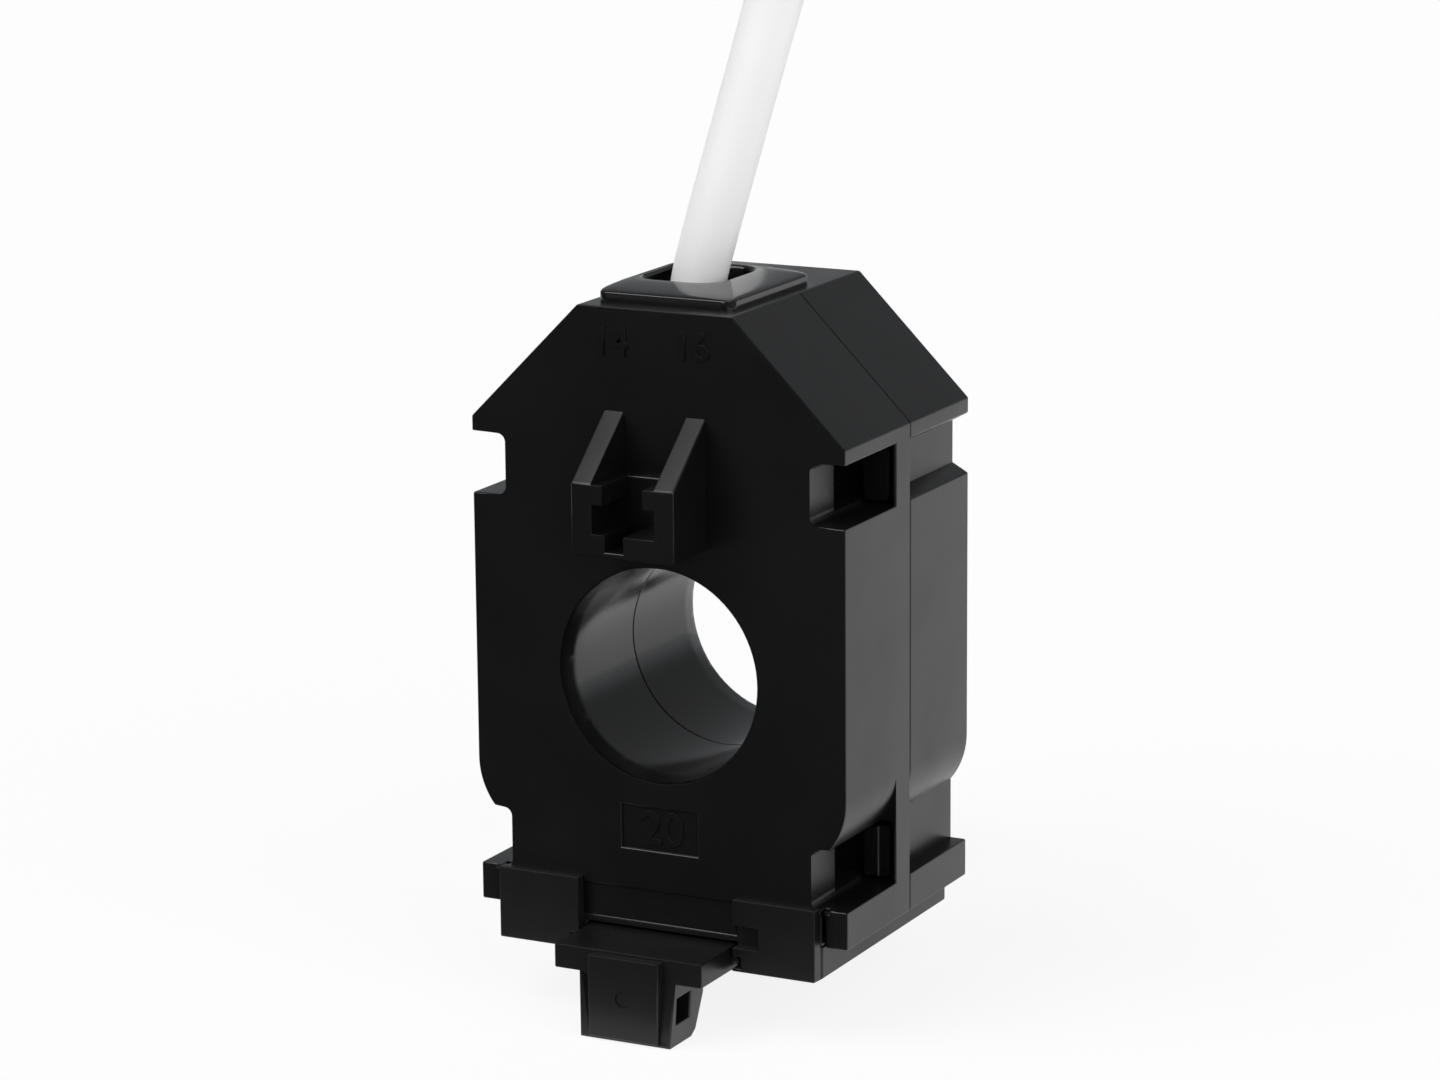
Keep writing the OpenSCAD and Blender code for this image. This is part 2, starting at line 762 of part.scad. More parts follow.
// Places its children at the free end of the lead, with +X along the lead.
module at_free_end(along) {
    at_coil() rotate([0, 0, coil_end_angle])
        translate([along, coil_outer - cable_d / 2, cable_d / 2]) children();
}

module cable() {
    color(white) difference() {
        swept(cable_route, cable_d / 2, 10, route_side);
        coil_body();
    }
}

// The coiled part of the lead, with the short free end that leaves its lowest layer.
module cable_coil() {
    color(white) {
        coil_body();
        difference() {
            at_free_end(0) rotate([0, 90, 0]) cylinder(d = cable_d, h = coil_end_len);
            coil_body();
        }
    }
}

module coil_tie() {
    w = coil_outer - coil_inner + 2 * tie_t;
    color(dark_grey) difference() {
        at_coil() translate([coil_inner - tie_t, -tie_w / 2, -tie_t])
            cube([w, tie_w, coil_h + 2 * tie_t]);
        coil_body();
    }
}

function end_points(side) = [
    [0, side * wire_pitch / 2, 0], [2, side * wire_pitch / 2, 0],
    [5, side * 1.9, -0.8], [7, side * 2.4, -1.4], [9, side * 2.9, -1.4]
];

module end_core(side) {
    at_free_end(coil_end_len) swept(end_points(side), wire_d / 2, 8, [0, 0, 1]);
}

module ferrule(side) {
    tip = end_points(side)[4];
    at_free_end(coil_end_len) swept([tip, tip + [ferrule_len, side * ferrule_len / 4, 0]], 0.7, 12, [0, 0, 1]);
}

module end_core_1() { color("brown") end_core(-1); }
module end_core_2() { color("blue") end_core(1); }
module ferrule_1() { color(steel) ferrule(-1); }
module ferrule_2() { color(steel) ferrule(1); }

front_case();
rear_case();
cable_collar();
rail_clip();
rail_latch();
latch_spring();
core();
core_cup();
core_cup_lid();
secondary_winding();
winding_tape();
lead_wire_1();
lead_wire_2();
splice_sleeve_1();
splice_sleeve_2();
cable_core_1();
cable_core_2();
cable_tail();
strain_relief_tie();
cable();
cable_coil();
coil_tie();
end_core_1();
end_core_2();
ferrule_1();
ferrule_2();
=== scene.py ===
import math

import bmesh
import bpy
from mathutils import Matrix, Vector


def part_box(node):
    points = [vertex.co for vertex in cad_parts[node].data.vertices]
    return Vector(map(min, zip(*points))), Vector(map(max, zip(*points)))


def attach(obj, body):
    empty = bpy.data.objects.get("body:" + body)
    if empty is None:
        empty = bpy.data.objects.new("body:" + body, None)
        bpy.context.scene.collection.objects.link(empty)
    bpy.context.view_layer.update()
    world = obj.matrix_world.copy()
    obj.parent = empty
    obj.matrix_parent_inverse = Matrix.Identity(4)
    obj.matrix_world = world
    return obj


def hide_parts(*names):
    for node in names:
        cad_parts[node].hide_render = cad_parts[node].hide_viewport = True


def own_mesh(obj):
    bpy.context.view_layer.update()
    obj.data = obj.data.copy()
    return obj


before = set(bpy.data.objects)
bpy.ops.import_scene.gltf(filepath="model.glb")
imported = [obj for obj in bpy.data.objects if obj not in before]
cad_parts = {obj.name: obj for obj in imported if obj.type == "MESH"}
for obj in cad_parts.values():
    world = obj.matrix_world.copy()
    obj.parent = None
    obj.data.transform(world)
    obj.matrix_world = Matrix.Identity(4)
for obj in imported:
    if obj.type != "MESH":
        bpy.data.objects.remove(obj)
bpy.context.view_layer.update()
mm = 0.001  # the dictionaries below give lengths in mm, and the scene is in metres
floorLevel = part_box("rail_latch")[0].z  # the latch's tab reaches lowest


def addObject(name, data):
    made = bpy.data.objects.new(name, data)
    bpy.context.scene.collection.objects.link(made)
    return made


def addPiece(name, data, body, material):
    piece = addObject(name, data)
    data.materials.clear()
    data.materials.append(material)
    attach(piece, body)
    return piece


def asMesh(bm, name):
    mesh = bpy.data.meshes.new(name)
    bm.to_mesh(mesh)
    bm.free()
    return mesh


def roundOff(bm, geom, offset, segments, affect="EDGES"):
    bmesh.ops.bevel(
        bm, geom=geom, offset=offset, offset_type="OFFSET", segments=segments, profile=0.5,
        affect=affect, material=-1,
    )


# Degrees by which the surface turns at an edge.
def turnAt(edge):
    return math.degrees(edge.calc_face_angle(0)) if len(edge.link_faces) == 2 else 0


def shadeRound(mesh, sharpOver):
    mesh.shade_smooth()
    mesh.set_sharp_from_angle(angle=math.radians(sharpOver))


def evenNormals(piece):
    piece.modifiers.new("evenNormals", "WEIGHTED_NORMAL").keep_sharp = True


copyWork = {
    "mergeWithin": 0.002,
    "flatWithin": 0.6,  # degrees
}


# A merged copy of a CAD node, the triangles of its flat faces joined.
def copyNode(node, keepApart=()):
    bm = bmesh.new()
    bm.from_mesh(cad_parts[node].data)
    bmesh.ops.remove_doubles(bm, verts=bm.verts, dist=copyWork["mergeWithin"] * mm)
    bmesh.ops.dissolve_limit(
        bm, angle_limit=math.radians(copyWork["flatWithin"]), use_dissolve_boundaries=False,
        verts=bm.verts, edges=bm.edges, delimit=set(keepApart),
    )
    return bm


view = {
    "place": (0.21765, -0.42679, 0.12182),  # metres
    "turn": 27.058,
    "tip": 76.996,
    "roll": -0.486,
    "lens": 118.0,
    "sensor": 36,
}


def addCamera():
    data = bpy.data.cameras.new("camera")
    data.lens = view["lens"]
    data.sensor_width = view["sensor"]
    camera = addObject("camera", data)
    camera.matrix_world = (
        Matrix.Translation(view["place"])
        @ Matrix.Rotation(math.radians(view["turn"]), 4, "Z")
        @ Matrix.Rotation(math.radians(view["tip"]), 4, "X")
        @ Matrix.Rotation(math.radians(view["roll"]), 4, "Z")
    )
    bpy.context.scene.camera = camera


addCamera()
print("camera set")


# Adds nodes to one tree and links them.
class Nodes:
    def __init__(self, tree):
        self.tree = tree

    def add(self, kind, **settings):
        node = self.tree.nodes.new(kind)
        for key, value in settings.items():
            setattr(node, key, value)
        return node

    def link(self, source, target):
        self.tree.links.new(source, target)

    # Maps bottom..top of the source to low..high.
    def spread(self, source, low, high, bottom=0.3, top=0.7):
        node = self.add("ShaderNodeMapRange")
        node.inputs["From Min"].default_value = bottom
        node.inputs["From Max"].default_value = top
        node.inputs["To Min"].default_value = low
        node.inputs["To Max"].default_value = high
        self.link(source, node.inputs["Value"])
        return node.outputs["Result"]

    def maths(self, operation, *values):
        node = self.add("ShaderNodeMath", operation=operation)
        for socket, value in zip(node.inputs, values):
            if isinstance(value, (int, float)):
                socket.default_value = value
            else:
                self.link(value, socket)
        return node.outputs["Value"]


# A new material, with helpers for patterns on Object coordinates.
class Finish(Nodes):
    def __init__(self, name, metallic=0.0, specular=0.5):
        self.material = bpy.data.materials.new(name)
        self.material.use_nodes = True
        super().__init__(self.material.node_tree)
        self.shader = self.tree.nodes["Principled BSDF"]
        self.shader.inputs["Metallic"].default_value = metallic
        self.shader.inputs["Specular IOR Level"].default_value = specular
        self.place = self.add("ShaderNodeTexCoord").outputs["Object"]

    def noise(self, scale, detail):
        node = self.add("ShaderNodeTexNoise")
        node.inputs["Scale"].default_value = scale
        node.inputs["Detail"].default_value = detail
        node.inputs["Roughness"].default_value = 0.55
        self.link(self.place, node.inputs["Vector"])
        return node.outputs["Fac"]

    def blend(self, source, first, second):
        node = self.add("ShaderNodeMix", data_type="RGBA")
        node.inputs["A"].default_value = (*first, 1)
        node.inputs["B"].default_value = (*second, 1)
        self.link(source, node.inputs["Factor"])
        return node.outputs["Result"]

    # Sideways and upward distance from the window's axis.
    def across(self):
        split = self.add("ShaderNodeSeparateXYZ")
        self.link(self.place, split.inputs[0])
        return split.outputs["X"], split.outputs["Z"]

    def radius(self):
        x, z = self.across()
        squares = self.maths("ADD", self.maths("MULTIPLY", x, x), self.maths("MULTIPLY", z, z))
        return self.maths("SQRT", squares)

    def angle(self):
        x, z = self.across()
        return self.maths("ARCTAN2", z, x)

    def along(self, direction):
        dot = self.add("ShaderNodeVectorMath", operation="DOT_PRODUCT")
        dot.inputs[1].default_value = direction
        self.link(self.place, dot.inputs[0])
        return dot.outputs["Value"]

    # A wave from 0 to 1, perUnit radians to each unit of the source.
    def ridges(self, source, perUnit):
        wave = self.maths("SINE", self.maths("MULTIPLY", source, perUnit))
        return self.maths("MULTIPLY_ADD", wave, 0.5, 0.5)

    def color(self, source):
        self.link(source, self.shader.inputs["Base Color"])

    def roughness(self, source):
        self.link(source, self.shader.inputs["Roughness"])

    # One bump node on the next, each a source with its height in metres.
    def bump(self, *layers):
        normal = None
        for source, distance in layers:
            node = self.add("ShaderNodeBump")
            node.inputs["Strength"].default_value = 1.0
            node.inputs["Distance"].default_value = distance
            self.link(source, node.inputs["Height"])
            if normal:
                self.link(normal, node.inputs["Normal"])
            normal = node.outputs["Normal"]
        self.link(normal, self.shader.inputs["Normal"])


# Radians for each metre, for ridges that repeat every so many mm.
def every(pitch):
    return 2 * math.pi / (pitch * mm)


# Fine grain on a slow waviness, with small changes of tone and gloss.
def mouldedPlastic(
    name, first, second, rough=(0.34, 0.44), grain=420, depth=0.004, polished=None, specular=0.5,
):
    m = Finish(name, specular=specular)
    m.color(m.blend(m.spread(m.noise(45, 2), 0, 1), first, second))
    gloss = m.spread(m.noise(120, 2), *rough)
    if polished:  # the window's wall is left glossy by the mould's polished core
        inside = m.maths("LESS_THAN", m.radius(), polished["radius"] * mm)
        gloss = m.maths("SUBTRACT", gloss, m.maths("MULTIPLY", inside, polished["less"]))
    m.roughness(gloss)
    m.bump((m.noise(grain, 1), depth * mm), (m.noise(30, 1), depth * 4 * mm))
    return m.material


# Insulated wire: two close tones, a soft gloss and a faint waviness along it.
def wireSkin(name, first, second):
    m = Finish(name)
    m.color(m.blend(m.spread(m.noise(400, 3), 0, 1), first, second))
    m.roughness(m.spread(m.noise(900, 2), 0.3, 0.42))
    m.bump((m.noise(2500, 2), 0.006 * mm), (m.noise(300, 1), 0.03 * mm))
    return m.material


# Metal with ridges or turns that follow the source: a radius, an angle or a distance.
def ridgedMetal(name, first, second, source, perUnit, depth, rough=(0.28, 0.42), metallic=1.0):
    m = Finish(name, metallic=metallic)
    lines = m.ridges(source(m), perUnit)
    tone = m.maths("MULTIPLY", lines, m.spread(m.noise(220, 4), 0.5, 1))
    m.color(m.blend(tone, first, second))
    m.roughness(m.spread(m.noise(700, 3), *rough))
    m.bump((lines, depth * mm), (m.noise(3000, 2), 0.003 * mm))
    return m.material


# Film wound round the ring, each turn lapping over the last.
def wrappedFilm(name, first, second, turns):
    m = Finish(name)
    step = m.maths("FRACT", m.maths("MULTIPLY", m.angle(), turns / (2 * math.pi)))
    m.color(m.blend(m.spread(step, 0, 1, 0, 1), first, second))
    m.roughness(m.spread(m.noise(300, 3), 0.2, 0.34))
    m.bump((step, 0.05 * mm), (m.noise(260, 3), 0.03 * mm))
    return m.material


# Nylon strap with teeth across it.
def ribbedNylon(name, first, second, direction, pitch):
    m = Finish(name)
    m.color(m.blend(m.spread(m.noise(200, 3), 0, 1), first, second))
    m.roughness(m.spread(m.noise(500, 3), 0.3, 0.42))
    teeth = m.ridges(m.along(direction), every(pitch))
    m.bump((teeth, 0.05 * mm), (m.noise(1500, 2), 0.004 * mm))
    return m.material


finishes = {
    "case": mouldedPlastic(
        "caseBlack", (0.0026, 0.0027, 0.0029), (0.0042, 0.0043, 0.0045), (0.27, 0.35), depth=0.002,
        polished={"radius": 11.36, "less": 0.14}, specular=0.4,
    ),
    "mark": mouldedPlastic(
        "markBlack", (0.0014, 0.0014, 0.0015), (0.002, 0.002, 0.0021), (0.5, 0.6), specular=0.25,
    ),
    "collar": mouldedPlastic(
        "collarBlack", (0.003, 0.0031, 0.0033), (0.0045, 0.0046, 0.0048), (0.13, 0.19), depth=0.0015,
    ),
    "clip": mouldedPlastic(
        "clipBlack", (0.004, 0.0041, 0.0043), (0.0065, 0.0066, 0.007), (0.3, 0.4), depth=0.003, specular=0.38,
    ),
    "sheath": mouldedPlastic("sheathWhite", (0.84, 0.84, 0.835), (0.88, 0.88, 0.875), (0.36, 0.46), 700, 0.01),
    "tieBlack": mouldedPlastic("tieBlack", (0.01, 0.01, 0.0105), (0.015, 0.015, 0.0155)),
    "spring": ridgedMetal(
        "springSteel", (0.5, 0.51, 0.53), (0.66, 0.67, 0.68),
        lambda m: m.along((0, 1, 0)), every(0.12), 0.004,
    ),
    "core": ridgedMetal(
        "coreStrip", (0.2, 0.2, 0.21), (0.42, 0.41, 0.4), Finish.radius, every(0.25), 0.02, (0.4, 0.55),
    ),
    "cup": mouldedPlastic("cupNylon", (0.78, 0.76, 0.7), (0.85, 0.84, 0.79), (0.4, 0.5), 1200, 0.008),
    "winding": ridgedMetal(  # 340 turns round the ring
        "windingCopper", (0.5, 0.19, 0.07), (0.78, 0.4, 0.18), Finish.angle, 340, 0.08, (0.22, 0.34), 0.85,
    ),
    "tape": wrappedFilm("wrapTape", (0.8, 0.62, 0.2), (0.9, 0.76, 0.34), 28),
    "red": wireSkin("wireRed", (0.6, 0.05, 0.04), (0.72, 0.09, 0.07)),
    "black": wireSkin("wireBlack", (0.015, 0.015, 0.016), (0.03, 0.03, 0.032)),
    "brown": wireSkin("wireBrown", (0.2, 0.085, 0.035), (0.28, 0.13, 0.06)),
    "blue": wireSkin("wireBlue", (0.04, 0.17, 0.52), (0.08, 0.25, 0.66)),
    "sleeve": mouldedPlastic("sleeveGrey", (0.15, 0.15, 0.155), (0.22, 0.22, 0.225), (0.45, 0.6), 500, 0.03),
    "strap": ribbedNylon("tieNatural", (0.72, 0.72, 0.66), (0.84, 0.84, 0.79), (0, 1, 0), 0.9),
    "tin": ridgedMetal(
        "ferruleTin", (0.6, 0.6, 0.61), (0.8, 0.8, 0.81),
        lambda m: m.along((0.55, 0.83, 0)), every(0.8), 0.02, (0.28, 0.4),
    ),
}
# CAD nodes whose shape stays as it is
nodeFinishes = {
    "core": "core",
    "core_cup": "cup",
    "core_cup_lid": "cup",
    "secondary_winding": "winding",
    "winding_tape": "tape",
    "lead_wire_1": "red",
    "lead_wire_2": "black",
    "splice_sleeve_1": "sleeve",
    "splice_sleeve_2": "sleeve",
    "cable_core_1": "brown",
    "cable_core_2": "blue",
    "cable_tail": "sheath",
    "strain_relief_tie": "strap",
}
for node, finish in nodeFinishes.items():
    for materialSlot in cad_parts[node].material_slots:
        materialSlot.material = finishes[finish]
print("materials made")

smallParts = {
    "latch_spring": {"piece": "return_spring", "slot": "spring_steel", "finish": "spring"},
    "end_core_1": {"piece": "bare_core_brown", "slot": "wire_brown", "finish": "brown"},
    "end_core_2": {"piece": "bare_core_blue", "slot": "wire_blue", "finish": "blue"},
    "ferrule_1": {"piece": "ferrule_brown", "slot": "ferrule_tin", "finish": "tin"},
    "ferrule_2": {"piece": "ferrule_blue", "slot": "ferrule_tin", "finish": "tin"},
}
rimWork = {"edge": 0.1, "over": 70}  # mm, degrees


# A smoothed copy of a thin round CAD node with its rims bevelled.
def addSmallPart(node, piece, slot, finish):
    bm = copyNode(node)
    roundOff(bm, [e for e in bm.edges if turnAt(e) > rimWork["over"]], rimWork["edge"] * mm, 1)
    for face in bm.faces:
        face.smooth = True
    made = addPiece(piece, asMesh(bm, piece), "housing", finishes[finish])
    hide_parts(node)
    return made


parts = {facts["piece"]: addSmallPart(node, **facts) for node, facts in smallParts.items()}
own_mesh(parts["return_spring"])
print("small parts made")

lead = {
    "radius": 2.9,
    "exit": (-2.4, -0.6, 36.4),
    "route": [
        (-2.4, -0.6, 36.4), (-2.4, -0.6, 37.4), (-2.1, -0.6, 39.2), (-1.1, -0.6, 42.8), (2.4, -0.6, 54.3),
        (5.6, -0.6, 64.7), (7.8, -0.5, 72.5), (9.6, 1.6, 82.4), (9.3, 8, 91.2), (6.7, 18, 96.4),
        (2.2, 28.4, 95.8), (-3.2, 37, 90.4), (-8.4, 42.2, 80.8), (-13, 43.4, 68), (-16.6, 42.6, 55.6),
        (-20, 40.8, 42.9), (-23.1, 38.4, 29.6), (-25.3, 32.4, 15), (-27.2, 24.8, 2), (-29.6, 20.8, -8),
        (-32.1, 20.2, -16), (-34.9, 22.5, -22.5), (-37.7, 27, -26.4),
    ],
    "coilCentre": (-21.8, 40.9),
    "coilTurn": 27,
    "rows": (20.3, 14.5),  # radius of the outer and the inner row
    "layers": (-27.65, -33.45),  # height of the top and the bottom layer
    # Clockwise: angle, row and layer at each change of row or layer, and at both ends.
    "winds": [
        (180, 0, 0), (-110, 0, 0), (-170, 1, 0), (-410, 1, 0),
        (-470, 1, 1), (-710, 1, 1), (-770, 0, 1), (-965, 0, 1),
    ],
    "step": 20,  # degrees between two points, at most
    "tail": 14,
    "roundSteps": 8,
    "alongSteps": 5,
}


# The coil's points: along each stretch, a row or layer changes slowly at first and at last.
def coilPoints():
    stops = [(angle, lead["rows"][row], lead["layers"][layer]) for angle, row, layer in lead["winds"]]
    wound = []
    for (angle, radius, height), (nextAngle, nextRadius, nextHeight) in zip(stops, stops[1:]):
        count = max(3, round((angle - nextAngle) / lead["step"]))
        for i in range(count):
            share = i / count
            ease = (1 - math.cos(math.pi * share)) / 2
            wound.append((
                angle + (nextAngle - angle) * share,
                radius + (nextRadius - radius) * ease,
                height + (nextHeight - height) * ease,
            ))
    wound.append(stops[-1])
    points = []
    for angle, radius, height in wound:
        turn = math.radians(angle + lead["coilTurn"])
        x = lead["coilCentre"][0] + radius * math.cos(turn)
        y = lead["coilCentre"][1] + radius * math.sin(turn)
        points.append((x, y, height))
    onward = math.radians(wound[-1][0] + lead["coilTurn"] - 90)
    x, y, z = points[-1]
    for share in (0.5, 1):  # the tail runs straight on
        reach = lead["tail"] * share
        points.append((x + reach * math.cos(onward), y + reach * math.sin(onward), z))
    return points


tie = {
    "wide": 4.0,
    "thick": 0.43,
    "slack": 0.06,  # between the leads and the strap
    "sides": 40,  # of the whole round that each corner is part of
    "flatWithin": 1,  # degrees, as the two below
    "roundOver": 60,
    "sharpOver": 40,
    "rimEdge": 0.2,
    "head": (5.2, 6.0, 3.6),  # wide, deep, tall
    "headSunk": 0.7,
    "tongue": (3.4, 0.8, 7.5),
    "tongueSunk": 0.4,
    "offMiddle": 1.2,
    "blockEdge": 0.28,
}


# A strap pulled tight round the three leads that pass under it, with its head and tongue on top.
def addCoilTie():
    outer, inner = lead["rows"]
    top, bottom = lead["layers"]
    middle, level = (outer + inner) / 2, (top + bottom) / 2
    spots = [(outer - middle, top - level), (inner - middle, top - level), (inner - middle, bottom - level)]
    girth = lead["radius"] + tie["slack"]
    bm = bmesh.new()
    for x, y in spots:
        bmesh.ops.create_cone(
            bm, cap_ends=True, segments=tie["sides"], radius1=girth, radius2=girth, depth=tie["wide"],
            matrix=Matrix.Translation((x, y, 0)),
        )
    hull = bmesh.ops.convex_hull(bm, input=bm.verts)
    inside = [v for v in hull["geom_interior"] + hull["geom_unused"] if isinstance(v, bmesh.types.BMVert)]
    bmesh.ops.delete(bm, geom=inside, context="VERTS")
    flatWithin = math.radians(tie["flatWithin"])
    bmesh.ops.dissolve_limit(bm, angle_limit=flatWithin, verts=bm.verts, edges=bm.edges)
    ends = [f for f in bm.faces if abs(f.normal.z) > 0.9]  # open where the leads pass
    bmesh.ops.delete(bm, geom=ends, context="FACES_ONLY")
    bmesh.ops.recalc_face_normals(bm, faces=bm.faces)
    bmesh.ops.solidify(bm, geom=bm.faces[:], thickness=-tie["thick"])
    roundOff(bm, [e for e in bm.edges if turnAt(e) > tie["roundOver"]], tie["rimEdge"], 2)
    crest = spots[0][1] + lead["radius"] + tie["thick"]
    for (wide, deep, tall), sunk in ((tie["head"], tie["headSunk"]), (tie["tongue"], tie["tongueSunk"])):
        block = bmesh.ops.create_cube(bm, size=1)["verts"]
        bmesh.ops.scale(bm, verts=block, vec=(deep, tall, wide))
        bmesh.ops.translate(bm, verts=block, vec=(tie["offMiddle"], crest + tall / 2 - sunk, 0))
        roundOff(bm, [e for e in bm.edges if e.verts[0] in block], tie["blockEdge"], 3)
    place = (
        Matrix.Scale(mm, 4)
        @ Matrix.Translation((*lead["coilCentre"], level))
        @ Matrix.Rotation(math.radians(lead["coilTurn"]), 4, "Z")
        @ Matrix.Translation((middle, 0, 0))
        @ Matrix.Rotation(math.radians(90), 4, "X")
    )
    bmesh.ops.transform(bm, verts=bm.verts, matrix=place)
    mesh = asMesh(bm, "coil_strap")
    shadeRound(mesh, tie["sharpOver"])
    made = addPiece("coil_strap", mesh, "housing", finishes["tieBlack"])
    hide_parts("coil_tie")
    return made


def addLead():
    curve = bpy.data.curves.new("output_lead", "CURVE")
    curve.dimensions = "3D"
    curve.bevel_depth = lead["radius"] * mm
    curve.bevel_resolution = lead["roundSteps"]
    curve.use_fill_caps = True
    curve.resolution_u = lead["alongSteps"]
    spline = curve.splines.new("BEZIER")
    points = lead["route"] + coilPoints()
    spline.bezier_points.add(len(points) - 1)
    for knot, place in zip(spline.bezier_points, points):
        knot.co = Vector(place) * mm
        knot.handle_left_type = knot.handle_right_type = "AUTO"
    piece = addPiece("output_lead", curve, "housing", finishes["sheath"])
    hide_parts("cable", "cable_coil")
    strap = addCoilTie()


addLead()

mouldings = {
    "front_case": {
        "piece": "front_shell", "body": "housing", "slot": "case_black", "finish": "case", "edge": 0.2,
    },
    "rear_case": {
        "piece": "rear_shell", "body": "housing", "slot": "case_black", "finish": "case", "edge": 0.2,
    },
    "rail_clip": {
        "piece": "clip_moulding", "body": "housing", "slot": "clip_black", "finish": "clip", "edge": 0.2,
    },
    "rail_latch": {
        "piece": "latch_moulding", "body": "latch", "slot": "clip_black", "finish": "clip", "edge": 0.2,
    },
}
mouldWork = {
    "roundOver": 28,  # degrees
    "shortest": 2.2,  # times the edge's rounding
    "sharpConvex": 38,  # degrees
    "sharpConcave": 18,
}


# A copy of a CAD node with its outer edges rounded and its curved walls shaded smooth.
# Inner edges keep their line: steps of 0.3 mm leave no room for two roundings.
def addMoulding(node, piece, body, slot, finish, edge):
    bm = copyNode(node, keepApart=["NORMAL"])
    edges = [
        e for e in bm.edges
        if e.is_convex and turnAt(e) > mouldWork["roundOver"]
        and e.calc_length() > mouldWork["shortest"] * edge * mm
    ]
    roundOff(bm, edges, edge * mm, 2)
    for face in bm.faces:
        face.smooth = True
    for e in bm.edges:
        e.smooth = turnAt(e) < mouldWork["sharpConvex" if e.is_convex else "sharpConcave"]
    mesh = asMesh(bm, piece)
    made = addPiece(piece, mesh, body, finishes[finish])
    evenNormals(made)
    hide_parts(node)
    print(piece, "made,", len(mesh.polygons), "faces")


for node, facts in mouldings.items():
    addMoulding(node, **facts)

collar = {
    "outer": {"centre": (-0.3, -3.1), "size": (15.4, 18.2), "corner": 1.2},
    "well": {"centre": (-2.35, -0.5), "size": (9.1, 10.8), "corner": 2.6},
    "foot": 37.7,
    "shoulder": 38.72,
    "rim": 39.35,
    "wellFloor": 36.4,
    # share of the way from the outer edge to the rim, share of the rise
    "crown": [(0.02, 0.2), (0.06, 0.37), (0.13, 0.52), (0.3, 0.7), (0.55, 0.88), (0.8, 0.97), (1, 1)],
    "lip": 0.5,
    "lipTurns": (30, 60, 90),  # degrees
    "cornerSteps": 10,
    "mergeWithin": 0.001,
    "sharpOver": 50,  # degrees
}


# Adds one rounded rectangle and returns its edges. grow widens it all round.
def addOutline(bm, centre, size, corner, height, grow=0.0):
    made = bmesh.ops.create_grid(bm, x_segments=1, y_segments=1, size=0.5)["verts"]
    bmesh.ops.scale(bm, verts=made, vec=(size[0] + 2 * grow, size[1] + 2 * grow, 1))
    bmesh.ops.translate(bm, verts=made, vec=(*centre, height))
    roundOff(bm, made, corner + grow, collar["cornerSteps"], affect="VERTICES")
    (face,) = bm.faces  # the earlier outlines have lost theirs
    edges = face.edges[:]
    bmesh.ops.delete(bm, geom=[face], context="FACES_ONLY")
    return edges


# The frame round the lead: a low wall, a crowned top, a rounded lip and the well.
def addCollar():
    bm = bmesh.new()
    outer, well, lip = collar["outer"], collar["well"], collar["lip"]
    rings = [
        addOutline(bm, **outer, height=collar["foot"]),
        addOutline(bm, **outer, height=collar["shoulder"]),
    ]
    rise = collar["rim"] - collar["shoulder"]
    for across, up in collar["crown"]:
        mix = {
            "centre": [o + (w - o) * across for o, w in zip(outer["centre"], well["centre"])],
            "size": [o + (w + 2 * lip - o) * across for o, w in zip(outer["size"], well["size"])],
            "corner": outer["corner"] + (well["corner"] + lip - outer["corner"]) * across,
        }
        rings.append(addOutline(bm, **mix, height=collar["shoulder"] + rise * up))
    for turn in collar["lipTurns"]:
        inward = lip * math.sin(math.radians(turn))
        down = lip * (1 - math.cos(math.radians(turn)))
        rings.append(addOutline(bm, **well, height=collar["rim"] - down, grow=lip - inward))
    rings.append(addOutline(bm, **well, height=collar["wellFloor"]))
    for low, high in zip(rings, rings[1:]):
        bmesh.ops.bridge_loops(bm, edges=low + high)
    bmesh.ops.holes_fill(bm, edges=rings[0], sides=0)
    bmesh.ops.holes_fill(bm, edges=rings[-1], sides=0)
    bmesh.ops.remove_doubles(bm, verts=bm.verts, dist=collar["mergeWithin"])
    bmesh.ops.recalc_face_normals(bm, faces=bm.faces)
    bmesh.ops.scale(bm, verts=bm.verts, vec=(mm, mm, mm))
    mesh = asMesh(bm, "collar_moulding")
    shadeRound(mesh, collar["sharpOver"])
    made = addPiece("collar_moulding", mesh, "housing", finishes["collar"])
    evenNormals(made)
    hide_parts("cable_collar")
    print("collar_moulding made,", len(mesh.polygons), "faces")


addCollar()

marks = [
    {"name": "mark_left", "words": "14", "size": 2.9, "centre": (-4.9, 34.25), "y": -15.0},
    {"name": "mark_right", "words": "16", "size": 2.9, "centre": (4.3, 34.4), "y": -15.0},
    {"name": "mark_recess", "words": "20", "size": 3.6, "centre": (0.2, -16.4), "y": -14.65},
]
markWork = {
    "fontScale": 1.4,  # font size to the height of a digit
    "raised": 0.14,
    "widened": 0.05,
    "edge": 0.03,
}


def addMark(name, words, size, centre, y):
    text = bpy.data.curves.new(name, "FONT")
    text.body = words
    text.size = size * markWork["fontScale"]
    text.offset = markWork["widened"]
    text.extrude = markWork["raised"]
    text.resolution_u = 6
    text.bevel_depth = markWork["edge"]
    text.bevel_resolution = 1
    text.align_x = "CENTER"
    text.align_y = "CENTER"
    holder = addObject(name + "_text", text)
    bpy.context.view_layer.update()
    shaped = holder.evaluated_get(bpy.context.evaluated_depsgraph_get())
    mesh = bpy.data.meshes.new_from_object(shaped)
    bpy.data.objects.remove(holder)
    mesh.name = name
    place = Matrix.Translation((centre[0], y, centre[1])) @ Matrix.Rotation(math.radians(90), 4, "X")
    mesh.transform(Matrix.Scale(mm, 4) @ place)
    addPiece(name, mesh, "housing", finishes["mark"])


for facts in marks:
    addMark(**facts)
print("marks made")

